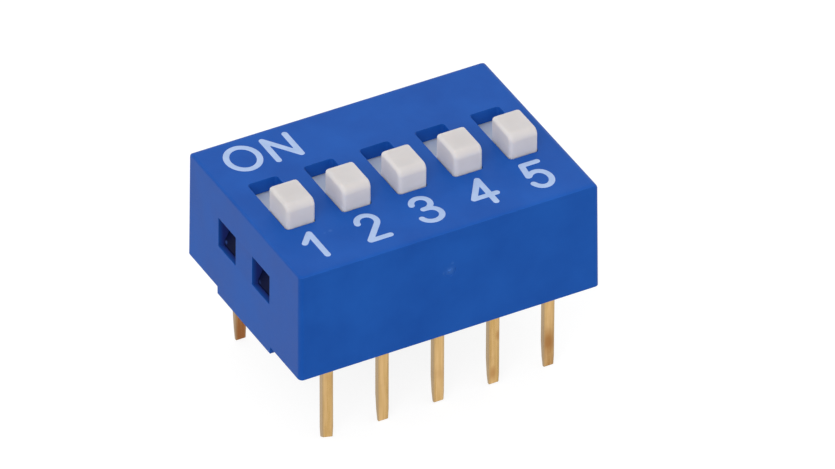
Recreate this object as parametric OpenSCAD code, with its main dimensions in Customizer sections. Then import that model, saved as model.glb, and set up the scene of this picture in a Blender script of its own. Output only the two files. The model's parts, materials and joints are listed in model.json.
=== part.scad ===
// Five-position DIP switch: a blue cover over a black base, with a white slide, a bridging
// contact and two gold-plated terminals for each position.
// The origin is the centre of the pin pattern on the board's surface. X runs along the row of
// switches, Y from the OFF side to the ON side and Z up. The slides are modelled at OFF.

/* [Pin pattern] */
// Number of switch positions
positions = 5; // [2:1:10]
// Distance between neighbouring positions
pitch = 2.54; // [2.5:0.02:2.7]
// Distance between the two rows of pins
row_spacing = 7.62; // [7.5:0.02:8]

/* [Cover] */
// Cover beyond the outer positions' half pitch, at each end
end_margin = 0.5; // [0.35:0.05:0.8]
// Cover beyond the middle of a row of pins, at each side
side_margin = 1.1; // [0.96:0.02:1.5]
// Height from the cover's bottom edge to its top face
cover_h = 5.1; // [4.9:0.1:6.5]
// Thickness of the end walls
end_wall = 0.7; // [0.5:0.05:0.75]
// Thickness of the side walls
side_wall = 0.7; // [0.5:0.05:0.75]
// Thickness of the top wall
top_wall = 0.65; // [0.4:0.05:0.8]
// How far each outer face leans in from its bottom to its top
draft = 0.06; // [0.02:0.02:0.12]
// Rounding of the upright corners
corner_r = 0.16; // [0.14:0.02:0.4]
// Rounding of the edges around the top face
top_edge_r = 0.25; // [0.1:0.05:0.4]
// Width of the cover's ribs between neighbouring slides
guide_rib = 0.6; // [0.3:0.05:0.7]

/* [Slots] */
// Width of a slot
slot_w = 1.36; // [1.1:0.02:1.4]
// Length of a slot
slot_l = 3.48; // [3:0.04:3.8]

/* [Snap windows] */
// Width of a window
window_w = 1.5; // [1:0.1:2]
// Height of a window
window_h = 1.4; // [0.9:0.1:1.7]
// Distance between the two windows of one end
window_spacing = 2.94; // [2.4:0.02:4]
// Height of a window's sill above the cover's bottom edge
sill_h = 2.08; // [1.8:0.04:2.4]

/* [Standoffs] */
// How far the standoffs hold the cover above the board
standoff_h = 0.35; // [0.2:0.05:0.8]
// Width of a standoff
standoff_w = 4.6; // [3:0.2:6]

/* [Base] */
// Height of the contact floor above the cover's bottom edge
floor_h = 2.05; // [1.6:0.05:2.3]
// How far the base's underside lies above the cover's bottom edge
base_recess = 0.15; // [0:0.05:0.4]
// Width of the channel that a slide's lower block runs in
channel_w = 1.34; // [1.1:0.02:1.4]
// How far a lug stands out into its window
lug_reach = 0.45; // [0.2:0.05:0.45]
// Room above a lug inside its window
lug_room = 0.28; // [0.1:0.02:0.4]
// Depth of a lug's edge before its face starts to lean back
lug_lip = 0.25; // [0.1:0.05:0.5]

/* [Slides] */
// Length of a knob, along its travel
knob_l = 1.65; // [1.2:0.05:1.8]
// Height of a knob above the cover's top face
knob_h = 1.1; // [0.8:0.05:2]
// Rounding of a knob's front edge
nose_r = 0.35; // [0.2:0.05:0.5]
// Rounding of a knob's other edges and of its slot's corners
knob_r = 0.16; // [0.06:0.02:0.2]
// Thickness of a slide's carrier plate
carrier_t = 0.5; // [0.35:0.05:0.6]
// Room left for a carrier plate at the end of its travel
carrier_room = 0.15; // [0.05:0.05:0.3]
// Thickness of the walls around a contact's pocket
pocket_wall = 0.2; // [0.12:0.02:0.24]
// Thickness of the plastic between the carrier plate and the pocket
pocket_roof = 0.6; // [0.3:0.05:0.7]
// Height of a slide's lower block above the contact floor
block_lift = 0.35; // [0.25:0.05:0.5]

/* [Contacts] */
// Thickness of the contact strip
contact_t = 0.1; // [0.06:0.01:0.12]
// Length of a contact's flat middle
contact_flat = 0.7; // [0.5:0.05:0.9]
// Slope of a contact's arms
arm_angle = 65; // [60:1:70]
// Inner radius of a contact's shoulders
shoulder_r = 0.15; // [0.1:0.05:0.25]
// Inner radius of a contact's feet
foot_r = 0.2; // [0.15:0.05:0.25]
// How far a foot's tip turns up
toe_angle = 60; // [40:5:70]

/* [Terminals] */
// Width of a pin
pin_w = 0.5; // [0.4:0.02:0.6]
// Thickness of a terminal
pin_t = 0.25; // [0.2:0.01:0.3]
// Length of a pin below the board's surface
pin_drop = 3.8; // [2.5:0.1:4.5]
// Width of a pin's tip
tip_w = 0.4; // [0.2:0.02:0.4]
// Length of a pin's tapered tip
tip_l = 0.5; // [0.4:0.1:1.4]
// Inner radius of a terminal's bend
bend_r = 0.1; // [0.06:0.02:0.2]
// Height of a terminal's wide part below its contact pad
shoulder_h = 1.2; // [0.8:0.1:1.3]
// Gap between the two contact pads of a position
pad_gap = 0.6; // [0.4:0.05:0.9]
// Floor beside a contact pad, at each side
pad_margin = 0.12; // [0.08:0.02:0.2]

/* [Clearances] */
// Gap between the base and the cover
base_gap = 0.02; // [0.01:0.01:0.05]
// Gap between a knob and its slot
knob_gap = 0.03; // [0.02:0.01:0.08]
// Gap beside a slide's carrier plate and lower block
guide_gap = 0.05; // [0.03:0.01:0.08]
// Gap above and below a slide's carrier plate
plate_gap = 0.03; // [0.02:0.01:0.06]
// Gap between a moulded-in terminal and the base
insert_gap = 0.01; // [0.005:0.005:0.02]
// Gap between a contact and its pocket, and between its feet and the pads
contact_gap = 0.02; // [0.015:0.005:0.04]
// Gap between a lug and its window's sides and sill
lug_gap = 0.1; // [0.04:0.02:0.2]

/* [Hidden] */
$fn = 48;
over = 1;

// outer size of the cover, and its cavity
body_l = positions * pitch + 2 * end_margin;
body_w = row_spacing + 2 * side_margin;
cavity_l = body_l - 2 * end_wall;
cavity_w = body_w - 2 * side_wall;
end_x = (positions - 1) / 2 * pitch;

// slide travel and widths
travel = slot_l - knob_l - 2 * knob_gap;
rest_y = -travel / 2;
knob_w = slot_w - 2 * knob_gap;
plate_w = 2 * min((pitch - guide_rib) / 2, cavity_l / 2 - end_x) - 2 * guide_gap;
plate_l = cavity_w - travel - 2 * carrier_room;
block_w = channel_w - 2 * guide_gap;

// heights above the board
skirt_z = standoff_h;
top_z = skirt_z + cover_h;
ceiling_z = top_z - top_wall;
plate_top_z = ceiling_z - plate_gap;
plate_z = plate_top_z - carrier_t;
rib_z = plate_z - plate_gap;
floor_z = skirt_z + floor_h;
base_z = skirt_z + base_recess;
sill_z = skirt_z + sill_h;
block_z = floor_z + block_lift;
pocket_z = plate_z - pocket_roof;

// contact: its height fixes how long its arms are, and so where its feet stand
contact_w = block_w - 2 * pocket_wall - 2 * contact_gap;
shoulder_mid = shoulder_r + contact_t / 2;
foot_mid = foot_r + contact_t / 2;
contact_h = pocket_z - floor_z - contact_gap - contact_t;
arm_l = (contact_h - (shoulder_mid + foot_mid) * (1 - cos(arm_angle))) / sin(arm_angle);
foot_y = contact_flat / 2 + (shoulder_mid + foot_mid) * sin(arm_angle) + arm_l * cos(arm_angle);
toe_y = foot_y + (foot_r + contact_t) * sin(toe_angle);
block_l = 2 * (toe_y + contact_gap + pocket_wall);

// base and terminals
base_l = cavity_l - 2 * base_gap;
base_w = cavity_w - 2 * base_gap;
pad_w = channel_w - 2 * pad_margin;
front_pad_y = foot_y - pad_gap / 2;
rear_pad_y = foot_y + pad_gap / 2;
lug_w = window_w - 2 * lug_gap;

function position_x(i) = (i - 1) * pitch - end_x;

// a block centred on X and Y that stands on z
module block(l, w, z, h) translate([-l / 2, -w / 2, z]) cube([l, w, h]);

// outline w wide and h high, with sides that lean in and two rounded top corners; it reaches
// below its base line by foot
module leaning_outline(w, h, lean, radii, foot = 0) {
    a = atan(lean / h);
    left = w / 2 - lean - radii[0] * (1 - sin(a)) / cos(a);
    right = w / 2 - lean - radii[1] * (1 - sin(a)) / cos(a);
    polygon([
        [-w / 2, -foot], [w / 2, -foot], [w / 2, 0],
        [right + radii[1] * cos(a), h - radii[1] * (1 - sin(a))], [right, h],
        [-left, h], [-left - radii[0] * cos(a), h - radii[0] * (1 - sin(a))], [-w / 2, 0],
    ]);
    translate([-left, h - radii[0]]) circle(radii[0]);
    translate([right, h - radii[1]]) circle(radii[1]);
}

// rectangle with four rounded corners
module rounded_outline(l, w, r) {
    square([l - 2 * r, w], center = true);
    square([l, w - 2 * r], center = true);
    for (x = [-1, 1], y = [-1, 1]) translate([x * (l / 2 - r), y * (w / 2 - r)]) circle(r);
}

// bent strip of metal, w wide and t thick, that starts along +X with its top face at z = 0.
// Each step is [length, 0] for a straight or [inner radius, degrees] for a bend, down if negative.
module strip(steps, w, t, i = 0) {
    if (i < len(steps)) {
        size = steps[i][0];
        turn = steps[i][1];
        centre = turn < 0 ? -t - size : size;
        if (turn == 0) {
            translate([0, -w / 2, -t]) cube([size, w, t]);
            translate([size, 0, 0]) strip(steps, w, t, i + 1);
        } else translate([0, 0, centre]) {
            rotate([90, turn < 0 ? -90 - turn : 90, 0]) rotate_extrude(angle = abs(turn))
                translate([size, -w / 2]) square([t, w]);
            rotate([0, -turn, 0]) translate([0, 0, -centre]) strip(steps, w, t, i + 1);
        }
    }
}

// outside of the cover with its two standoff tabs, solid
module cover_shell() {
    radii = [top_edge_r, top_edge_r];
    intersection() {
        union() {
            translate([0, 0, skirt_z]) linear_extrude(cover_h) rounded_outline(body_l, body_w, corner_r);
            for (x = [-1, 1]) translate([x * (body_l - end_wall) / 2, 0, 0])
                block(end_wall, standoff_w, 0, skirt_z + cover_h / 2);
        }
        translate([-body_l / 2, 0, skirt_z]) rotate([90, 0, 90])
            linear_extrude(body_l) leaning_outline(body_w, cover_h, draft, radii, skirt_z);
        translate([0, body_w / 2, skirt_z]) rotate([90, 0, 0])
            linear_extrude(body_w) leaning_outline(body_l, cover_h, draft, radii, skirt_z);
    }
}

module cover() color([0.17, 0.36, 0.67]) difference() {
    cover_shell();
    // cavity, apart from the ribs that guide the slides and stand on the base's ribs
    difference() {
        block(cavity_l, cavity_w, skirt_z - over, ceiling_z - skirt_z + over);
        for (i = [1:positions - 1]) translate([position_x(i) + pitch / 2, 0, 0])
            block(guide_rib, body_w, rib_z, cover_h);
    }
    for (i = [1:positions]) translate([position_x(i), 0, ceiling_z - over])
        linear_extrude(top_wall + 2 * over) rounded_outline(slot_w, slot_l, knob_r);
    for (y = [-1, 1]) translate([0, y * window_spacing / 2, 0])
        block(body_l + over, window_w, sill_z, window_h);
}

// lug on the end x = 1 or -1 of the base, with a flat underside that catches on the window's sill
module lug(x) {
    inner = base_l / 2 - base_gap;
    outer = cavity_l / 2 + lug_reach;
    foot = sill_z + base_gap;
    head = sill_z + window_h - lug_room;
    translate([0, lug_w / 2, 0]) rotate([90, 0, 0]) linear_extrude(lug_w) polygon([
        [x * inner, foot], [x * outer, foot], [x * outer, foot + lug_lip],
        [x * base_l / 2, head], [x * inner, head],
    ]);
}

module base() color([0.09, 0.09, 0.1]) difference() {
    union() {
        block(base_l, base_w, base_z, rib_z - base_z);
        for (x = [-1, 1], y = [-1, 1]) translate([0, y * window_spacing / 2, 0]) lug(x);
    }
    for (i = [1:positions]) translate([position_x(i), 0, 0]) {
        block(channel_w, body_w, floor_z, cover_h);
        front_side() terminal_shape(-front_pad_y, insert_gap);
        rear_side() terminal_shape(rear_pad_y, insert_gap);
    }
}

module slide(i) color([0.93, 0.92, 0.9]) translate([position_x(i), rest_y, 0]) {
    knob_from = plate_z + carrier_t / 2;
    knob_rise = top_z + knob_h - knob_from;
    intersection() {
        translate([0, 0, knob_from]) linear_extrude(knob_rise) rounded_outline(knob_w, knob_l, knob_r);
        translate([-knob_w / 2, 0, knob_from]) rotate([90, 0, 90])
            linear_extrude(knob_w) leaning_outline(knob_l, knob_rise, 0, [nose_r, knob_r]);
        translate([0, knob_l / 2, knob_from]) rotate([90, 0, 0])
            linear_extrude(knob_l) leaning_outline(knob_w, knob_rise, 0, [knob_r, knob_r]);
    }
    block(plate_w, plate_l, plate_z, carrier_t);
    difference() {
        block(block_w, block_l, block_z, plate_z - block_z + carrier_t / 2);
        block(contact_w + 2 * contact_gap, block_l - 2 * pocket_wall, block_z - over,
            pocket_z - block_z + over);
    }
}

module contact(i) color([0.85, 0.68, 0.35]) translate([position_x(i), rest_y, pocket_z]) {
    arm = [[shoulder_r, -arm_angle], [arm_l, 0], [foot_r, arm_angle + toe_angle]];
    block(contact_w, contact_flat, -contact_t, contact_t);
    for (turn = [90, -90]) rotate([0, 0, turn]) translate([contact_flat / 2, 0, 0])
        strip(arm, contact_w, contact_t);
}

// terminal that runs outwards along +X: its contact pad from x = from, its bend, its wide
// shoulder and its pin. All its faces are moved out by grow.
module terminal_shape(from, grow = 0) {
    t = pin_t + 2 * grow;
    bend = bend_r - grow;
    outer = row_spacing / 2 + t / 2;
    pad_l = outer - t - bend - from + grow;
    translate([from - grow, 0, floor_z + grow])
        strip([[pad_l, 0], [bend, -90], [shoulder_h - t - bend + 2 * grow, 0]], pad_w + 2 * grow, t);
    translate([outer - t, 0, 0]) rotate([90, 0, 90]) linear_extrude(t) polygon([
        [-tip_w / 2 - grow, -pin_drop], [tip_w / 2 + grow, -pin_drop],
        [pin_w / 2 + grow, tip_l - pin_drop], [pin_w / 2 + grow, floor_z - shoulder_h / 2],
        [-pin_w / 2 - grow, floor_z - shoulder_h / 2], [-pin_w / 2 - grow, tip_l - pin_drop],
    ]);
}

module front_side() rotate([0, 0, -90]) children();

module rear_side() rotate([0, 0, 90]) children();

module front_terminal(i) color([0.83, 0.66, 0.38]) translate([position_x(i), 0, 0])
    front_side() terminal_shape(-front_pad_y);

module rear_terminal(i) color([0.83, 0.66, 0.38]) translate([position_x(i), 0, 0])
    rear_side() terminal_shape(rear_pad_y);

cover();
base();
for (i = [1:positions]) {
    slide(i);
    contact(i);
    front_terminal(i);
    rear_terminal(i);
}
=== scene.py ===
import json
import math

import bmesh
import bpy
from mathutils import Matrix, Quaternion, Vector

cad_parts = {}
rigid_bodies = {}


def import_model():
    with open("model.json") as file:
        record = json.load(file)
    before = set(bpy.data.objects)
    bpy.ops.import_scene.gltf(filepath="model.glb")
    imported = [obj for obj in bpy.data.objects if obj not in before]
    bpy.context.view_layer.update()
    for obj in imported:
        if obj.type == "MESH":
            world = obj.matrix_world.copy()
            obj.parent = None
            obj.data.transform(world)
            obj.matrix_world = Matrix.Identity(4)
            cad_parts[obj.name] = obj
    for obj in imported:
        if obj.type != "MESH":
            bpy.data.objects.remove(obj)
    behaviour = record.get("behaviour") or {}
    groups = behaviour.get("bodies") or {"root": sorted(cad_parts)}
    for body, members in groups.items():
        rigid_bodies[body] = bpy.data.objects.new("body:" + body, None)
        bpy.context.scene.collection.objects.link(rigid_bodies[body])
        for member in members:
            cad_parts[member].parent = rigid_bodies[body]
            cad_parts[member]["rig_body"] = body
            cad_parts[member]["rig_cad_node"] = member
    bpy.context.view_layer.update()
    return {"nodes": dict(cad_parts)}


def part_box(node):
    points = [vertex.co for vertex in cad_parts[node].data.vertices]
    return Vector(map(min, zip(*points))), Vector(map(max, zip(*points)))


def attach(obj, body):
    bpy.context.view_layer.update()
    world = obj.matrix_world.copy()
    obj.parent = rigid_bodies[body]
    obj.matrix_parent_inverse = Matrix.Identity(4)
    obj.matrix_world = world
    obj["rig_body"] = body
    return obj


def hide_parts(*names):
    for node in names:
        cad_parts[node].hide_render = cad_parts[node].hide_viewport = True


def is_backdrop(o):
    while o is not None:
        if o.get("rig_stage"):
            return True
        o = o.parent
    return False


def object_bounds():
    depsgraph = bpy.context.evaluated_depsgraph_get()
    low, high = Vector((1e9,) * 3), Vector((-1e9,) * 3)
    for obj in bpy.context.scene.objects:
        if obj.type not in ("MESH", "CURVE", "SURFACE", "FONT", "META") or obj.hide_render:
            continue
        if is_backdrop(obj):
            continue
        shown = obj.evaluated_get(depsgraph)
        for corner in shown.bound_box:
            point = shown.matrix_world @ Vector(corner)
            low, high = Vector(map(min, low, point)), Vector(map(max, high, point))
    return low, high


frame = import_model()
print("frame loaded:", len(frame["nodes"]), "nodes")

# Pieces are modelled in millimetres, where the bevel and remesh tools work well, and brought
# down to metres when they are finished.
mm = 0.001
positions = sorted(name for name in frame["nodes"] if name.startswith("slide_"))


def boxInMm(node):
    low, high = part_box(node)
    return low / mm, high / mm


def centresOf(nodes):
    boxes = [boxInMm(name) for name in nodes]
    return [(low.x + high.x) / 2 for low, high in boxes]


# working with meshes

mergeGap = 0.0005   # mm, under which two points are one
flatAngle = 0.2     # degrees, under which two faces are one
sharpAngle = 32     # degrees, over which an edge is softened
square = 0.9        # share of a normal along an axis, over which the face looks that way


def pickOnly(piece):
    bpy.ops.object.select_all(action="DESELECT")
    piece.select_set(True)
    bpy.context.view_layer.objects.active = piece


def applyPlace(piece):
    pickOnly(piece)
    bpy.ops.object.transform_apply(location=True, rotation=True, scale=True)
    return piece


def addBlock(name, low, high):
    low, high = Vector(low), Vector(high)
    bpy.ops.object.select_all(action="DESELECT")
    bpy.ops.mesh.primitive_cube_add(size=1, location=(low + high) / 2, scale=high - low)
    block = bpy.context.object
    block.name = name
    return applyPlace(block)


def addFrontDisc(name, centre, radius, depth):
    # its two flat faces look along Y
    bpy.ops.object.select_all(action="DESELECT")
    bpy.ops.mesh.primitive_cylinder_add(vertices=48, radius=radius, depth=depth, location=centre,
                                        rotation=(math.pi / 2, 0, 0))
    disc = bpy.context.object
    disc.name = name
    return applyPlace(disc)


def openMesh(piece):
    pickOnly(piece)
    bpy.ops.object.mode_set(mode="EDIT")
    bpy.ops.mesh.select_all(action="DESELECT")


def closeMesh():
    bpy.ops.object.mode_set(mode="OBJECT")


def choose(kind, wanted):
    # selects the open mesh's faces, edges or vertices that wanted() says yes to
    mode = {"faces": "FACE", "edges": "EDGE", "verts": "VERT"}[kind]
    bpy.ops.mesh.select_mode(type=mode)
    bpy.ops.mesh.select_all(action="DESELECT")
    data = bpy.context.object.data
    mesh = bmesh.from_edit_mesh(data)
    for item in getattr(mesh, kind):
        if wanted(item):
            item.select_set(True)
    mesh.select_flush_mode()
    bmesh.update_edit_mesh(data)


def near(a, b, gap=0.002):
    return abs(a - b) < gap


def faceMiddle(face):
    return face.calc_center_median()


def edgeMiddle(edge):
    return (edge.verts[0].co + edge.verts[1].co) / 2


def runsAlong(edge, axis):
    step = edge.verts[1].co - edge.verts[0].co
    return abs(step[axis]) > 0.99 * step.length


def looksAlong(axis, side):
    return lambda face: face.normal[axis] * side > square


upward, downward, forward = looksAlong(2, 1), looksAlong(2, -1), looksAlong(1, -1)


def score(wanted, axis, at):
    # a new line across the wanted faces, where the axis reads at
    choose("faces", wanted)
    point, normal = Vector(), Vector()
    point[axis], normal[axis] = at, 1
    bpy.ops.mesh.bisect(plane_co=point, plane_no=normal)


def push(offset):
    bpy.ops.mesh.extrude_region_move(TRANSFORM_OT_translate={"value": offset})


def combine(piece, tool, operation="DIFFERENCE"):
    pickOnly(piece)
    cut = piece.modifiers.new("combine", "BOOLEAN")
    cut.operation = operation
    cut.solver = "EXACT"
    cut.object = tool
    bpy.ops.object.modifier_apply(modifier=cut.name)
    bpy.data.objects.remove(tool)


def mergeFlat(piece):
    openMesh(piece)
    bpy.ops.mesh.select_all(action="SELECT")
    bpy.ops.mesh.remove_doubles(threshold=mergeGap)
    bpy.ops.mesh.dissolve_limited(angle_limit=math.radians(flatAngle))
    closeMesh()


def softenEdges(piece, width, segments=2, angle=sharpAngle, weighed=False):
    pickOnly(piece)
    bevel = piece.modifiers.new("soften", "BEVEL")
    bevel.width = width
    bevel.segments = segments
    bevel.limit_method = "WEIGHT" if weighed else "ANGLE"
    bevel.angle_limit = math.radians(angle)
    bevel.use_clamp_overlap = True
    bpy.ops.object.modifier_apply(modifier=bevel.name)


def shadeSmooth(piece, angle=38):
    pickOnly(piece)
    bpy.ops.object.shade_smooth_by_angle(angle=math.radians(angle))
    weight = piece.modifiers.new("weight", "WEIGHTED_NORMAL")
    weight.keep_sharp = True
    weight.weight = 90
    bpy.ops.object.modifier_apply(modifier=weight.name)


def copyTo(piece, name, offset):
    twin = piece.copy()
    twin.data = piece.data.copy()
    twin.name = name
    bpy.context.collection.objects.link(twin)
    twin.location = offset
    return applyPlace(twin)


def install(piece, body, material, node=None):
    piece.scale = (mm, mm, mm)
    applyPlace(piece)
    piece.data.materials.clear()
    piece.data.materials.append(material)
    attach(piece, body)
    if node:
        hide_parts(node)


# camera

cameraSettings = {
    "azimuth": -28.246, "elevation": 36.683, "roll": 0.188,   # degrees
    "distance": 487.09, "right": 0.981, "up": 1.399, "aimHeight": 0.35,   # mm
    "lens": 517.37, "sensor": 36,
    "clip": (0.01, 10),   # metres
}


def addCamera(s):
    azimuth, elevation = math.radians(s["azimuth"]), math.radians(s["elevation"])
    back = Vector((math.sin(azimuth) * math.cos(elevation), -math.cos(azimuth) * math.cos(elevation),
                   math.sin(elevation)))
    right = Vector((math.cos(azimuth), math.sin(azimuth), 0))
    up = back.cross(right)
    stand = back * s["distance"] + right * s["right"] + up * s["up"] + Vector((0, 0, s["aimHeight"]))
    bpy.ops.object.camera_add(location=stand * mm)
    camera = bpy.context.object
    turn = back.to_track_quat("Z", "Y") @ Quaternion((0, 0, 1), math.radians(s["roll"]))
    camera.rotation_euler = turn.to_euler()
    camera.data.lens = s["lens"]
    camera.data.sensor_width = s["sensor"]
    camera.data.clip_start, camera.data.clip_end = s["clip"]
    bpy.context.scene.camera = camera
    print("camera placed")


addCamera(cameraSettings)


# nodes for materials

def startMaterial(name):
    material = bpy.data.materials.new(name)
    material.use_nodes = True
    tree = material.node_tree
    tree.nodes.clear()
    return material, tree


def finishMaterial(tree, shader):
    addNode(tree, "ShaderNodeOutputMaterial", {"Surface": shader})


def startGroup(name, inputs, outputs):
    group = bpy.data.node_groups.new(name, "ShaderNodeTree")
    for label, value in inputs.items():
        socket = group.interface.new_socket(label, in_out="INPUT", socket_type="NodeSocketFloat")
        socket.default_value = value
    for label, kind in outputs.items():
        group.interface.new_socket(label, in_out="OUTPUT", socket_type="NodeSocket" + kind)
    return group, group.nodes.new("NodeGroupInput").outputs, group.nodes.new("NodeGroupOutput").inputs


def addGroup(tree, group, values):
    node = tree.nodes.new("ShaderNodeGroup")
    node.node_tree = group
    for label, value in values.items():
        node.inputs[label].default_value = value
    return node.outputs


def feed(tree, socket, value):
    if isinstance(value, bpy.types.NodeSocket):
        tree.links.new(value, socket)
    else:
        socket.default_value = value


def addNode(tree, kind, inputs=None, **settings):
    node = tree.nodes.new(kind)
    for key, value in settings.items():
        setattr(node, key, value)
    for key, value in (inputs or {}).items():
        feed(tree, node.inputs[key], value)
    return node


def calc(tree, operation, *values, clamp=False):
    node = addNode(tree, "ShaderNodeMath", dict(enumerate(values)), operation=operation, use_clamp=clamp)
    return node.outputs[0]


def product(tree, first, *others):
    for value in others:
        first = calc(tree, "MULTIPLY", first, value)
    return first


def mixColour(tree, amount, first, second):
    return addNode(tree, "ShaderNodeMix", {0: amount, 6: first, 7: second}, data_type="RGBA").outputs[2]


def between(tree, value, start, end, low=0.0, high=1.0):
    # low up to start, high from end on, and an even change between them
    return addNode(tree, "ShaderNodeMapRange", {
        "Value": value, "From Min": start, "From Max": end, "To Min": low, "To Max": high}).outputs[0]


def noise(tree, at, scale, detail, roughness):
    return addNode(tree, "ShaderNodeTexNoise", {
        "Vector": at, "Scale": scale, "Detail": detail, "Roughness": roughness}).outputs["Fac"]


def vectorMath(tree, operation, first, second):
    return addNode(tree, "ShaderNodeVectorMath", {0: first, 1: second}, operation=operation).outputs


def objectPoint(tree):
    return addNode(tree, "ShaderNodeTexCoord").outputs["Object"]


def split(tree, vector):
    return addNode(tree, "ShaderNodeSeparateXYZ", {"Vector": vector}).outputs


cloudSpan = (0.3, 0.7)    # what the noise of the clouds nearly always lies between
markFade = (1.45, 0.75)   # radii where a mark begins and where it is full, with up to one of grain added


# uneven colour and gloss over a surface, from broad clouds and fine grain
def makeMottle():
    group, given, out = startGroup(
        "mottle",
        {"Cloud Size": 3.0, "Grain Size": 0.05, "Roughness": 0.4, "Roughness Spread": 0.1,
         "Grain Height": 0.1},
        {"Cloud": "Float", "Grain": "Float", "Roughness": "Float", "Normal": "Vector"})
    spot = objectPoint(group)
    clouds = calc(group, "DIVIDE", 1 / mm, given["Cloud Size"])
    cloud = noise(group, spot, clouds, detail=3.0, roughness=0.6)
    grains = calc(group, "DIVIDE", 1 / mm, given["Grain Size"])
    grain = noise(group, spot, grains, detail=2.0, roughness=0.5)
    swing = calc(group, "SUBTRACT", calc(group, "ADD", cloud, grain), 1.0)
    rough = calc(group, "MULTIPLY_ADD", swing, given["Roughness Spread"], given["Roughness"], clamp=True)
    grainDepth = 0.02 * mm
    bump = addNode(group, "ShaderNodeBump", {
        "Strength": given["Grain Height"], "Distance": grainDepth, "Height": grain})
    for label, value in (("Cloud", cloud), ("Grain", grain), ("Roughness", rough),
                         ("Normal", bump.outputs["Normal"])):
        group.links.new(value, out[label])
    return group


# mask of the outer edges, where handling and tumbling have rubbed the surface; on the blue cover it also
# paints a highlight along them
def makeEdgeRub():
    group, given, out = startGroup(
        "edge rub", {"Width": 0.05, "Amount": 0.5, "Patch Size": 0.6}, {"Mask": "Float"})
    flat = addNode(group, "ShaderNodeNewGeometry").outputs["Normal"]
    turned = addNode(group, "ShaderNodeBevel", {
        "Radius": calc(group, "MULTIPLY", given["Width"], mm)}, samples=6).outputs["Normal"]
    agree = vectorMath(group, "DOT_PRODUCT", flat, turned)["Value"]
    gain = 4.0
    edge = calc(group, "MULTIPLY", calc(group, "SUBTRACT", 1.0, agree), gain, clamp=True)
    patches = noise(group, objectPoint(group), calc(group, "DIVIDE", 1 / mm, given["Patch Size"]),
                    detail=4.0, roughness=0.65)
    mask = calc(group, "MULTIPLY", calc(group, "MULTIPLY", edge, patches), given["Amount"], clamp=True)
    group.links.new(mask, out["Mask"])
    return group


mottle = makeMottle()
edgeRubAndSheen = makeEdgeRub()


def mouldedPlastic(name, s):
    material, tree = startMaterial(name)
    skin = addGroup(tree, mottle, s["skin"])
    rubAndSheen = addGroup(tree, edgeRubAndSheen, s["rubAndSheen"])
    colour = mixColour(tree, between(tree, skin["Cloud"], *cloudSpan), s["dark"], s["light"])
    # the edges take the worn colour: wear, and on the blue cover also a painted highlight
    colour = mixColour(tree, rubAndSheen["Mask"], colour, s["wornAndSheen"])
    spot = objectPoint(tree)
    for at, radius, strength in s.get("marks", []):
        # knocks and the gate's scar, and painted glints on the lugs, with an edge that the grain breaks up
        away = vectorMath(tree, "DISTANCE", spot, [mm * value for value in at])["Value"]
        away = calc(tree, "MULTIPLY_ADD", skin["Grain"], radius * mm, away)
        mark = between(tree, away, markFade[0] * radius * mm, markFade[1] * radius * mm, high=strength)
        colour = mixColour(tree, mark, colour, s.get("glintColour", s["wornAndSheen"]))
    if "revealShade" in s:
        # painted shade: the ends' window reveals are darker towards the inside of the wall
        r = s["revealShade"]
        along = split(tree, spot)
        depth = calc(tree, "ABSOLUTE", along["X"])
        deep = product(tree, between(tree, depth, r["outer"] * mm, r["inner"] * mm, high=r["share"]),
                       calc(tree, "GREATER_THAN", depth, r["wall"] * mm),
                       calc(tree, "COMPARE", along["Y"], 0.0, r["halfWidth"] * mm),
                       calc(tree, "COMPARE", along["Z"], r["height"] * mm, r["halfHeight"] * mm))
        colour = mixColour(tree, deep, colour, r["colour"])
    if "shelf" in s:
        # painted blue light bounced from the slot walls: what lies low in the slots is tinted blue
        full, none = s["shelf"]
        stainAndBounce = between(tree, split(tree, spot)["Z"], none * mm, full * mm)
        colour = mixColour(tree, stainAndBounce, colour, s["stainAndBounceColour"])
    shader = addNode(tree, "ShaderNodeBsdfPrincipled", {
        "Base Color": colour, "Roughness": skin["Roughness"], "Normal": skin["Normal"], **s["shader"]})
    finishMaterial(tree, shader.outputs["BSDF"])
    return material


# marks are a place, a radius and a strength; places and sizes are in mm
bluePlastic = mouldedPlastic("blue moulded plastic", {
    "dark": (0.006, 0.082, 0.405, 1), "light": (0.011, 0.105, 0.472, 1), "wornAndSheen": (0.05, 0.17, 0.52, 1),
    "skin": {"Cloud Size": 2.6, "Grain Size": 0.045, "Roughness": 0.46, "Roughness Spread": 0.16,
             "Grain Height": 0.22},
    # the cover's lighter edges are wear and also a painted highlight along them
    "rubAndSheen": {"Width": 0.06, "Amount": 0.8, "Patch Size": 0.5},
    # where the gate broke off, then two knocks in the top
    "marks": [((0.0, -4.86, 3.47), 0.26, 0.55), ((-0.3, -4.86, 3.45), 0.09, 0.35),
              ((0.1, -4.86, 3.83), 0.1, 0.4),
              ((-4.23, -2.57, 5.45), 0.12, 0.5), ((-4.5, -2.6, 5.45), 0.08, 0.3)],
    # painted shade in the ends' window reveals, deepening inward
    "revealShade": {"outer": 6.84, "inner": 6.58, "wall": 6.16, "halfWidth": 2.3, "height": 3.13,
               "halfHeight": 0.73, "share": 0.88, "colour": (0.021, 0.027, 0.18, 1)},
    "shader": {"Specular IOR Level": 0.13},
})
whitePlastic = mouldedPlastic("white nylon", {
    "dark": (0.66, 0.63, 0.625, 1), "light": (0.70, 0.67, 0.665, 1), "wornAndSheen": (0.71, 0.68, 0.675, 1),
    "skin": {"Cloud Size": 1.2, "Grain Size": 0.03, "Roughness": 0.5, "Roughness Spread": 0.12,
             "Grain Height": 0.15},
    "rubAndSheen": {"Width": 0.05, "Amount": 0.5, "Patch Size": 0.3},
    "shelf": (4.8, 5.3), "stainAndBounceColour": (0.67, 0.735, 0.83, 1),   # painted blue light bounced from the slot walls, low in the slots
    "shader": {"Specular IOR Level": 0.2, "Subsurface Weight": 0.8, "Subsurface Scale": 0.5 * mm,
               "Subsurface Radius": (1.0, 0.9, 0.8)},
})
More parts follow.
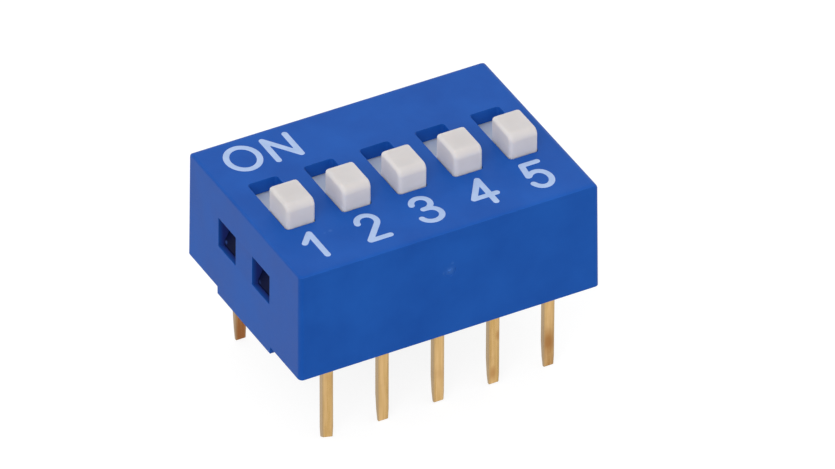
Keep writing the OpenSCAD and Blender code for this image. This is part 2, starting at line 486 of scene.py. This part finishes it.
blackPlastic = mouldedPlastic("black moulded plastic", {
    "dark": (0.002, 0.004, 0.026, 1), "light": (0.004, 0.007, 0.042, 1), "wornAndSheen": (0.014, 0.022, 0.08, 1),
    "skin": {"Cloud Size": 2.0, "Grain Size": 0.05, "Roughness": 0.5, "Roughness Spread": 0.15,
             "Grain Height": 0.25},
    "rubAndSheen": {"Width": 0.05, "Amount": 0.6, "Patch Size": 0.4},
    # painted glints: small bluish highlights where light catches the left end's two lugs
    "marks": [((-6.6, 1.97, 2.70), 0.12, 0.95), ((-6.6, -0.98, 2.65), 0.12, 0.4)],
    "glintColour": (0.03, 0.065, 0.24, 1),
    "shader": {"Specular IOR Level": 0.04},
})
whiteInk = mouldedPlastic("white printing ink", {
    "dark": (0.39, 0.53, 0.82, 1), "light": (0.47, 0.605, 0.89, 1), "wornAndSheen": (0.54, 0.67, 0.93, 1),
    "skin": {"Cloud Size": 0.7, "Grain Size": 0.04, "Roughness": 0.55, "Roughness Spread": 0.15,
             "Grain Height": 0.15},
    "rubAndSheen": {"Width": 0.02, "Amount": 0.2, "Patch Size": 0.2},
    "shader": {"Specular IOR Level": 0.35},
})


# gold over a rolled and stamped strip: the streaks run along Z, and the sheared sides are darker, as are
# the borders of the broad faces. The rear row's inward faces carry painted shade, the low end of the last
# pin is browner, and a few places carry stains.
def goldPlate(name, s):
    material, tree = startMaterial(name)
    skin = addGroup(tree, mottle, s["skin"])
    rubAndSheen = addGroup(tree, edgeRubAndSheen, s["rubAndSheen"])
    spot = objectPoint(tree)
    along = split(tree, spot)
    facing = split(tree, addNode(tree, "ShaderNodeTexCoord").outputs["Normal"])

    def streaks(across, lengthwise):
        stretched = addNode(tree, "ShaderNodeMapping", {
            "Vector": spot, "Scale": (across / mm, across / mm, lengthwise / mm)}).outputs["Vector"]
        return between(tree, noise(tree, stretched, 1.0, detail=2.0, roughness=0.6), *s["streakSpan"])

    def rise(value, start, end):
        return between(tree, value, start * mm, end * mm)

    streak = mixColour(tree, s["fineShare"], streaks(*s["wideStreaks"]), streaks(*s["fineStreaks"]))
    colour = mixColour(tree, streak, s["dark"], s["light"])

    # stains, drawn out along the pin
    stretch = s["stainStretch"]
    drawn = vectorMath(tree, "MULTIPLY", spot, (1, 1, 1 / stretch))["Vector"]
    for (x, y, z), radius, strength in s["stains"]:
        away = vectorMath(tree, "DISTANCE", drawn, (x * mm, y * mm, z * mm / stretch))["Value"]
        none, full = (fade * radius * mm for fade in s["stainFade"])
        stainAndBounce = between(tree, away, none, full, high=strength)
        colour = mixColour(tree, stainAndBounce, colour, s["stainAndBounceColour"])

    # painted shade on the rear row's inward faces, and the browner low end of the last pin, more where the
    # streaks are dark
    inward = between(tree, facing["Y"], *s["inwardSpan"])
    row = product(tree, rise(along["Y"], *s["rowShadeY"]), s["rowShade"], inward)
    end = product(tree, rise(along["X"], *s["endBrownX"]), rise(along["Z"], *s["endBrownZ"]), s["endBrown"])
    uneven = between(tree, skin["Cloud"], *cloudSpan, -s["shadeAndBrownSpread"], s["shadeAndBrownSpread"])
    broken = calc(tree, "MULTIPLY_ADD", streak, -s["shadeAndBrownStreaks"], 1 + s["shadeAndBrownStreaks"] / 2)
    shadeAndBrownMask = calc(tree, "MULTIPLY", calc(tree, "MAXIMUM", end, row), broken)
    shadeAndBrownMask = calc(tree, "ADD", shadeAndBrownMask, uneven, clamp=True)
    colour = mixColour(tree, shadeAndBrownMask, colour, s["shadeAndBrown"])

    # the sheared sides, and less of the same along both borders of a pin's broad faces
    halfPitch = s["pitch"] / 2 * mm
    across = calc(tree, "ABSOLUTE", calc(tree, "WRAP", along["X"], halfPitch, -halfPitch))
    border = product(tree, rise(across, *s["borderX"]), rise(along["Z"], *s["borderZ"]), s["borderShare"])
    side = between(tree, calc(tree, "ABSOLUTE", facing["X"]), *s["sideSpan"], high=s["sideShare"])
    colour = mixColour(tree, calc(tree, "MAXIMUM", side, border), colour, s["wornAndSheen"])
    colour = mixColour(tree, rubAndSheen["Mask"], colour, s["wornAndSheen"])

    rough = calc(tree, "MULTIPLY_ADD", calc(tree, "SUBTRACT", streak, 0.5), s["streakRoughness"],
                 skin["Roughness"], clamp=True)
    bump = addNode(tree, "ShaderNodeBump", {
        "Strength": s["streakHeight"], "Distance": s["streakDepth"] * mm, "Height": streak,
        "Normal": skin["Normal"]})
    shader = addNode(tree, "ShaderNodeBsdfPrincipled", {
        "Base Color": colour, "Roughness": rough, "Normal": bump.outputs["Normal"], **s["shader"]})
    finishMaterial(tree, shader.outputs["BSDF"])
    return material


pinGold = goldPlate("gold plated pins", {
    "dark": (0.52, 0.32, 0.105, 1), "light": (0.74, 0.495, 0.235, 1), "wornAndSheen": (0.38, 0.28, 0.17, 1),
    "shadeAndBrown": (0.29, 0.115, 0.038, 1), "stainAndBounceColour": (0.40, 0.185, 0.05, 1),
    "wideStreaks": (5.0, 0.3), "fineStreaks": (28.0, 1.2), "fineShare": 0.3,   # per mm
    "streakSpan": (0.33, 0.67), "streakRoughness": 0.25, "streakHeight": 0.3, "streakDepth": 0.01,
    "endBrownX": (3.6, 4.9), "endBrownZ": (-1.0, -3.2), "endBrown": 0.4,        # the last pin's low end
    "rowShadeY": (2.4, 3.6), "inwardSpan": (0.6, 0.2), "rowShade": 0.95,    # painted shade on the rear row's inward faces
    "shadeAndBrownSpread": 0.15, "shadeAndBrownStreaks": 0.8,
    "sideSpan": (0.3, 0.8), "sideShare": 0.7,                          # the sheared sides
    "pitch": 2.54, "borderX": (0.14, 0.25), "borderZ": (0.6, 0.1), "borderShare": 0.55,
    "stains": [((5.05, -3.93, -2.5), 0.26, 0.8), ((2.49, -3.93, -3.2), 0.16, 0.6),
               ((2.74, -3.93, -1.35), 0.12, 0.7)],
    "stainStretch": 2, "stainFade": (1.4, 0.4),
    "skin": {"Cloud Size": 1.1, "Grain Size": 0.03, "Roughness": 0.34, "Roughness Spread": 0.2,
             "Grain Height": 0.1},
    "rubAndSheen": {"Width": 0.09, "Amount": 1.4, "Patch Size": 0.5},
    "shader": {"Metallic": 1.0},
})
print("materials made")

# cover, in mm as all the pieces are

coverSettings = {
    "skirt": 0.35, "draft": 0.06, "cornerRadius": 0.16, "topRadius": 0.25,
    "rim": 0.1,   # how far in from the outside an edge still counts as an outer one
    "endWall": 0.7, "sideWall": 0.7, "ceiling": 4.80, "ribTop": 4.24, "ribWidth": 0.6, "tabWidth": 4.6,
    "slotWidth": 1.36, "slotLength": 3.48, "slotRadius": 0.16,
    "windowWidth": 1.5, "windowSpacing": 2.94, "windowLow": 2.43, "windowHigh": 3.83,
    "gateAt": (-0.03, 3.48), "gateRadius": 0.28, "gateDepth": 0.02, "gateZone": 0.4,
    "nubShift": 0.03, "nubRadius": 0.13, "nubHeight": 0.04,
    "nubTaper": (0.6, 1, 0.4),   # what is left of its width and height at its tip
    "edge": 0.04, "overshoot": 1,   # how far the cutting shapes stand out of the cover
}


def makeCover(s):
    low, high = boxInMm("cover")
    size = high - low
    wide, deep, top, skirt, over = size.x, size.y, high.z, s["skirt"], s["overshoot"]
    cover = addBlock("coverShell", (low.x, low.y, skirt), high)

    openMesh(cover)
    choose("faces", upward)
    bpy.ops.transform.resize(value=((wide - 2 * s["draft"]) / wide, (deep - 2 * s["draft"]) / deep, 1),
                             center_override=(0, 0, top))
    # the two standoff tabs, pulled down from the bottom face
    inner = wide / 2 - s["endWall"]
    halfTab = s["tabWidth"] / 2
    for axis, at in ((0, inner), (0, -inner), (1, halfTab), (1, -halfTab)):
        score(downward, axis, at)
    choose("faces", lambda f: downward(f) and abs(faceMiddle(f).x) > inner
           and abs(faceMiddle(f).y) < halfTab)
    push((0, 0, low.z - skirt))
    closeMesh()
    mergeFlat(cover)

    # cavity, with a rib left between neighbouring slides
    along = deep / 2 - s["sideWall"]
    core = addBlock("core", (-inner, -along, -over), (inner, along, s["ribTop"]))
    centres = centresOf(positions)
    ribs = [(a + b) / 2 for a, b in zip(centres, centres[1:])]
    halfRib = s["ribWidth"] / 2
    openMesh(core)
    for rib in ribs:
        score(upward, 0, rib - halfRib)
        score(upward, 0, rib + halfRib)
    choose("faces", lambda f: upward(f) and all(abs(faceMiddle(f).x - rib) > halfRib for rib in ribs))
    push((0, 0, s["ceiling"] - s["ribTop"]))
    closeMesh()
    mergeFlat(core)
    combine(cover, core)

    halfWidth, halfLength = s["slotWidth"] / 2, s["slotLength"] / 2
    for centre in centres:
        slot = addBlock("slotTool", (centre - halfWidth, -halfLength, s["ceiling"] - over / 2),
                        (centre + halfWidth, halfLength, top + over))
        openMesh(slot)
        choose("edges", lambda e: runsAlong(e, 2))
        bpy.ops.mesh.bevel(offset=s["slotRadius"], segments=6, affect="EDGES")
        closeMesh()
        combine(cover, slot)
    for side in (-1, 1):
        middle = side * s["windowSpacing"] / 2
        combine(cover, addBlock("windowTool", (low.x - over, middle - s["windowWidth"] / 2, s["windowLow"]),
                                (high.x + over, middle + s["windowWidth"] / 2, s["windowHigh"])))

    # the mark that the moulding gate leaves on the front: a shallow dish with a broken stub in it
    gateX, gateZ = s["gateAt"]
    face = low.y + s["draft"] * (gateZ - skirt) / (top - skirt)
    combine(cover, addFrontDisc("gateTool", (gateX, face, gateZ), s["gateRadius"], 2 * s["gateDepth"]))
    stub = addFrontDisc("gateStub", (gateX + s["nubShift"], face + s["gateDepth"], gateZ),
                        s["nubRadius"], 2 * s["nubHeight"])
    openMesh(stub)
    choose("faces", forward)
    bpy.ops.transform.resize(value=s["nubTaper"], center_override=(gateX, 0, gateZ))
    closeMesh()
    combine(cover, stub, "UNION")
    mergeFlat(cover)

    def atEnds(e):
        return abs(edgeMiddle(e).x) > wide / 2 - s["rim"]

    def atSides(e):
        return abs(edgeMiddle(e).y) > deep / 2 - s["rim"]

    def fromGate(e):
        return (edgeMiddle(e) - Vector((gateX, face, gateZ))).length

    # the rounding round the top, and the smaller one down the four corners
    openMesh(cover)
    choose("edges", lambda e: all(near(v.co.z, top) for v in e.verts) and (atEnds(e) or atSides(e)))
    bpy.ops.transform.edge_bevelweight(value=1)
    choose("edges", lambda e: runsAlong(e, 2) and atEnds(e) and atSides(e))
    bpy.ops.transform.edge_bevelweight(value=s["cornerRadius"] / s["topRadius"])
    closeMesh()
    softenEdges(cover, s["topRadius"], segments=6, weighed=True)
    # every other sharp edge, finer round the gate mark
    openMesh(cover)
    choose("edges", lambda e: fromGate(e) < s["gateZone"])
    bpy.ops.mesh.bevel(offset=s["gateDepth"] / 3, segments=2, affect="EDGES", clamp_overlap=True)
    choose("edges", lambda e: fromGate(e) > s["gateZone"]
           and e.calc_face_angle(0) > math.radians(sharpAngle))
    bpy.ops.mesh.bevel(offset=s["edge"], segments=2, affect="EDGES", clamp_overlap=True)
    closeMesh()
    shadeSmooth(cover)
    install(cover, "housing", bluePlastic, "cover")
    print("cover made:", len(cover.data.polygons), "faces")


makeCover(coverSettings)

# slides

slideSettings = {
    "knobWidth": 1.30, "knobLength": 1.65, "noseRadius": 0.35,
    "knobRadius": 0.16, "knobAngle": 40,   # degrees, over which the knob's edges get that radius
    "plateTop": 4.77, "plateThickness": 0.5,
    "blockWidth": 1.24, "blockLength": 3.305, "pocketWall": 0.2, "pocketDepth": 0.92,
    "edge": 0.03,
}


def makeSlides(s):
    low, high = boxInMm(positions[0])
    size = high - low
    plateTop = s["plateTop"]
    plateLow = plateTop - s["plateThickness"]
    halfKnob = Vector((s["knobWidth"] / 2, s["knobLength"] / 2))
    halfBlock = Vector((s["blockWidth"] / 2, s["blockLength"] / 2))
    slide = addBlock("slide", (-size.x / 2, -size.y / 2, plateLow), (size.x / 2, size.y / 2, plateTop))

    def pull(side, half, distance):
        # scores the plate's top or bottom face round a rectangle, and pulls that out
        outward = looksAlong(2, side)
        for axis in (0, 1):
            score(outward, axis, -half[axis])
            score(outward, axis, half[axis])
        choose("faces", lambda f: outward(f) and abs(faceMiddle(f).x) < half[0]
               and abs(faceMiddle(f).y) < half[1])
        push((0, 0, side * distance))

    openMesh(slide)
    pull(1, halfKnob, high.z - plateTop)
    pull(-1, halfBlock, plateLow - low.z)
    # the contact's pocket
    choose("faces", lambda f: near(faceMiddle(f).z, low.z))
    bpy.ops.mesh.inset(thickness=s["pocketWall"], depth=0)
    push((0, 0, s["pocketDepth"]))
    # the knob's rounded front, then its other edges
    choose("edges", lambda e: runsAlong(e, 0) and near(edgeMiddle(e).z, high.z)
           and near(edgeMiddle(e).y, -halfKnob.y))
    bpy.ops.mesh.bevel(offset=s["noseRadius"], segments=7, affect="EDGES")
    choose("edges", lambda e: edgeMiddle(e).z > plateTop + s["edge"]
           and e.calc_face_angle(0) > math.radians(s["knobAngle"]))
    bpy.ops.mesh.bevel(offset=s["knobRadius"], segments=4, affect="EDGES")
    closeMesh()
    softenEdges(slide, s["edge"], angle=50)
    shadeSmooth(slide)
    for name in positions:
        low, high = boxInMm(name)
        at = (low + high) / 2
        twin = copyTo(slide, name.replace("slide", "slideKnob"), (at.x, at.y, 0))
        install(twin, name.replace("slide", "switch"), whitePlastic, name)
    bpy.data.objects.remove(slide)
    print("slides made:", len(positions))


makeSlides(slideSettings)

# terminals

terminalSettings = {
    "pinWidth": 0.5, "thickness": 0.25, "tipWidth": 0.45, "tipLength": 0.5, "tipZone": 0.12,
    "tipThickness": 0.12, "thinLength": 1.3, "unthinned": "front_terminal_1", "blunted": 0.1,
    # how far each tip ends above the solid's, or below it where less than 0
    "cutShort": {"front": (0, 0, 0.05, 0.06, 0.05), "rear": (-0.09, -0.06, -0.09, -0.05, -0.09)},
    "padWidth": 1.10, "shoulderLow": 1.20, "padTop": 2.40, "bendRadius": 0.1,
    "edge": 0.02,
}


# a terminal at x = 0: its pin runs down the side y = -outer and thins towards the tip on one face, and its
# pad is bent over towards +y
def makeTerminal(name, outer, padEnd, bottom, thinOutside, s):
    t, half = s["thickness"], s["pinWidth"] / 2
    inner = -outer + t
    bendY, bendZ = inner + s["bendRadius"], s["padTop"] - t - s["bendRadius"]
    straightFace = (0, inner if thinOutside else -outer, 0)
    # how thick it still is where the tip begins
    middle = t + (s["tipThickness"] - t) * (1 - s["tipLength"] / s["thinLength"])
    pin = addBlock(name, (-half, -outer, bottom + s["thinLength"]), (half, inner, s["shoulderLow"]))
    openMesh(pin)
    choose("faces", downward)
    push((0, 0, s["tipLength"] - s["thinLength"]))
    bpy.ops.transform.resize(value=(1, middle / t, 1), center_override=straightFace)
    push((0, 0, -s["tipLength"]))
    bpy.ops.transform.resize(value=(s["tipWidth"] / s["pinWidth"], s["tipThickness"] / middle, 1),
                             center_override=straightFace)
    # the shoulder, then the bend and the pad
    choose("faces", upward)
    push((0, 0, 0))
    bpy.ops.transform.resize(value=(s["padWidth"] / s["pinWidth"], 1, 1))
    push((0, 0, bendZ - s["shoulderLow"]))
    bpy.ops.mesh.spin(steps=8, angle=math.pi / 2, center=(0, bendY, bendZ), axis=(1, 0, 0))
    choose("faces", lambda f: near(faceMiddle(f).y, bendY, 0.01) and abs(f.normal.y) > square)
    push((0, padEnd - bendY, 0))
    bpy.ops.mesh.select_all(action="SELECT")
    bpy.ops.mesh.remove_doubles(threshold=mergeGap)
    bpy.ops.mesh.normals_make_consistent(inside=False)
    closeMesh()
    mergeFlat(pin)
    softenEdges(pin, s["edge"], angle=50)
    shadeSmooth(pin)
    return pin


def makeTerminals(s):
    low, high = boxInMm("front_terminal_1")
    front = makeTerminal("frontTerminal", -low.y, high.y, low.z, False, s)
    low, high = boxInMm("rear_terminal_1")
    rear = makeTerminal("rearTerminal", high.y, -low.y, low.z, True, s)
    rear.rotation_euler = (0, 0, math.pi)
    applyPlace(rear)
    low, high = boxInMm(s["unthinned"])
    full = makeTerminal("fullTerminal", -low.y, high.y, low.z, False, {**s, "tipThickness": s["thickness"]})

    def raiseTip(pin, height, wanted=lambda v: True):
        openMesh(pin)
        choose("verts", lambda v: v.co.z < low.z + s["tipZone"] and wanted(v))
        bpy.ops.transform.translate(value=(0, 0, height))
        closeMesh()

    # the outer left corner
    raiseTip(full, s["blunted"], lambda v: v.co.x < 0 and v.co.y < low.y + s["thickness"] / 4)
    for side, usual in (("front", front), ("rear", rear)):
        for index, name in enumerate(positions, 1):
            node = f"{side}_terminal_{index}"
            pattern = full if node == s["unthinned"] else usual
            twin = copyTo(pattern, f"{side}Pin_{index}", (centresOf([name])[0], 0, 0))
            raiseTip(twin, s["cutShort"][side][index - 1])
            install(twin, "housing", pinGold, node)
    for pattern in (front, rear, full):
        bpy.data.objects.remove(pattern)
    print("terminals made")


makeTerminals(terminalSettings)

# base, taken over from the solids and finished

baseSettings = {"edge": 0.03}


def makeBase(s):
    base = frame["nodes"]["base"].copy()
    base.data = base.data.copy()
    base.name = "baseBlock"
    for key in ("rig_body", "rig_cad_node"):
        del base[key]
    base.parent = None
    bpy.context.collection.objects.link(base)
    base.scale = (1 / mm, 1 / mm, 1 / mm)
    applyPlace(base)
    mergeFlat(base)
    openMesh(base)
    bpy.ops.mesh.select_all(action="SELECT")
    bpy.ops.mesh.dissolve_degenerate(threshold=mergeGap)
    bpy.ops.mesh.delete_loose()
    closeMesh()
    softenEdges(base, s["edge"])
    shadeSmooth(base)
    install(base, "housing", blackPlastic, "base")
    print("base made:", len(base.data.polygons), "faces")


makeBase(baseSettings)

# contacts, which stay as they are under the pins' gold

contacts = [node for name, node in frame["nodes"].items() if name.startswith("contact_")]
for contact in contacts:
    contact.data.materials.clear()
    contact.data.materials.append(pinGold)
print("contacts plated:", len(contacts))

# printed legend

legendSettings = {
    "strokeWidth": 0.265, "height": 0.014, "grid": 0.02,
    "letters": {"O": -5.07, "N": -3.327}, "shift": -0.06, "spread": 0.992,
}


def arc(centre, radii, start, end, steps=20):
    # points on an ellipse, from one angle to another in degrees
    points = []
    for k in range(steps + 1):
        a = math.radians(start + (end - start) * k / steps)
        points.append((centre[0] + radii[0] * math.cos(a), centre[1] + radii[1] * math.sin(a)))
    return points


# the middle lines of the strokes, with x from the glyph's own centre and y as on the cover
glyphs = {
    "O": [arc((0, 3.395), (0.667, 0.768), 0, 360, 48)],
    "N": [[(-0.52, 2.62), (-0.52, 4.10)], [(-0.52, 4.10), (0.52, 2.62)], [(0.52, 2.62), (0.52, 4.10)]],
    "1": [[(-0.43, -2.86), (0.03, -2.33)], [(0.03, -2.33), (0.03, -3.93)]],
    "2": [arc((-0.08, -2.73), (0.41, 0.43), 178, -35) + [(-0.52, -3.89)], [(-0.52, -3.92), (0.36, -3.92)]],
    "3": [arc((-0.12, -2.67), (0.39, 0.39), 172, -90), [(-0.20, -3.06), (-0.12, -3.06)],
          arc((-0.09, -3.49), (0.46, 0.43), 90, -168)],
    "4": [[(0.13, -2.31), (-0.60, -3.42)], [(-0.60, -3.42), (0.43, -3.42)], [(0.13, -2.31), (0.13, -3.93)]],
    "5": [[(0.35, -2.31), (-0.36, -2.31)], [(-0.36, -2.31), (-0.46, -3.08)],
          arc((-0.08, -3.42), (0.44, 0.53), 140, -160)],
}


def makeGlyph(name, strokes, centreX, top, s):
    # round wires with a ball at each open end, joined into one skin and pressed flat
    radius = s["strokeWidth"] / 2
    lines = bpy.data.curves.new(name, "CURVE")
    lines.dimensions = "3D"
    lines.bevel_depth = radius
    lines.bevel_resolution = 5
    lines.use_fill_caps = True
    ends = []
    for stroke in strokes:
        closed = (Vector(stroke[0]) - Vector(stroke[-1])).length < mergeGap
        line = lines.splines.new("POLY")
        points = stroke[:-1] if closed else stroke
        line.points.add(len(points) - 1)
        for point, (x, y) in zip(line.points, points):
            point.co = (x, y, 0, 1)
        line.use_cyclic_u = closed
        if not closed:
            ends += [stroke[0], stroke[-1]]
    glyph = bpy.data.objects.new(name, lines)
    bpy.context.collection.objects.link(glyph)
    pickOnly(glyph)
    bpy.ops.object.convert(target="MESH")
    glyph = bpy.context.object
    balls = []
    for x, y in ends:
        bpy.ops.object.select_all(action="DESELECT")
        bpy.ops.mesh.primitive_uv_sphere_add(segments=24, ring_count=12, radius=radius, location=(x, y, 0))
        balls.append(bpy.context.object)
    pickOnly(glyph)
    for ball in balls:
        ball.select_set(True)
    if balls:
        bpy.ops.object.join()
    applyPlace(glyph)
    glyph.data.remesh_voxel_size = s["grid"]
    bpy.ops.object.voxel_remesh()
    glyph.scale = (1, 1, s["height"] / radius)
    glyph.location = (centreX, 0, top)
    applyPlace(glyph)
    bpy.ops.object.shade_smooth()
    install(glyph, "housing", whiteInk)


def makeLegend(s):
    top = boxInMm("cover")[1].z
    for letter, centre in s["letters"].items():
        makeGlyph(f"print_{letter}", glyphs[letter], centre, top, s)
    for digit, centre in enumerate(centresOf(positions), 1):
        makeGlyph(f"print_{digit}", glyphs[str(digit)], centre * s["spread"] + s["shift"], top, s)
    print("legend made")


makeLegend(legendSettings)

# floor and light, in metres

stageSettings = {
    "floorSize": 2.0, "floorColour": (0.26, 0.26, 0.26, 1), "lift": 0.83,
    "horizonLevel": 1.38, "zenithLevel": 0.53,
    "lampPlace": (-0.23, -0.26, 0.27), "lampSize": 0.28, "lampPower": 0.5,
}
white = (1, 1, 1, 1)


def showsBackground(tree):
    path = addNode(tree, "ShaderNodeLightPath").outputs
    seen = calc(tree, "MAXIMUM", path["Is Camera Ray"], path["Is Glossy Ray"])
    return calc(tree, "MAXIMUM", seen, path["Is Transmission Ray"])


def addFloor(s):
    bpy.ops.object.select_all(action="DESELECT")
    bpy.ops.mesh.primitive_plane_add(size=s["floorSize"], location=(0, 0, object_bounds()[0].z))
    floor = bpy.context.object
    floor.name = "floor"
    # pale to the camera, and clear from below
    material, tree = startMaterial("pale floor")
    paper = addNode(tree, "ShaderNodeBsdfDiffuse", {"Color": s["floorColour"]})
    glow = addNode(tree, "ShaderNodeEmission", {
        "Color": white, "Strength": calc(tree, "MULTIPLY", showsBackground(tree), s["lift"])})
    both = addNode(tree, "ShaderNodeAddShader", {0: paper.outputs[0], 1: glow.outputs[0]})
    clear = addNode(tree, "ShaderNodeBsdfTransparent")
    behind = addNode(tree, "ShaderNodeNewGeometry").outputs["Backfacing"]
    mix = addNode(tree, "ShaderNodeMixShader", {0: behind, 1: both.outputs[0], 2: clear.outputs[0]})
    finishMaterial(tree, mix.outputs[0])
    floor.data.materials.append(material)
    floor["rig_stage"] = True


def addTent(s):
    # light from all round, brighter at the sides than at the top
    world = bpy.data.worlds.new("studio")
    bpy.context.scene.world = world
    world.use_nodes = True
    tree = world.node_tree
    tree.nodes.clear()
    height = split(tree, addNode(tree, "ShaderNodeTexCoord").outputs["Generated"])["Z"]
    tent = between(tree, height, 0.0, 1.0, s["horizonLevel"], s["zenithLevel"])
    strength = addNode(tree, "ShaderNodeMix", {0: showsBackground(tree), 2: tent, 3: 1.0})
    sky = addNode(tree, "ShaderNodeBackground", {"Color": white, "Strength": strength.outputs[0]})
    addNode(tree, "ShaderNodeOutputWorld", {"Surface": sky.outputs[0]})


def addLamp(s):
    bpy.ops.object.light_add(type="AREA", location=s["lampPlace"])
    lamp = bpy.context.object
    lamp.data.shape = "DISK"
    lamp.data.size = s["lampSize"]
    lamp.data.energy = s["lampPower"]
    lamp.rotation_euler = Vector(s["lampPlace"]).to_track_quat("Z", "Y").to_euler()


addFloor(stageSettings)
addTent(stageSettings)
addLamp(stageSettings)
bpy.context.scene.view_settings.view_transform = "Standard"
print("stage made")
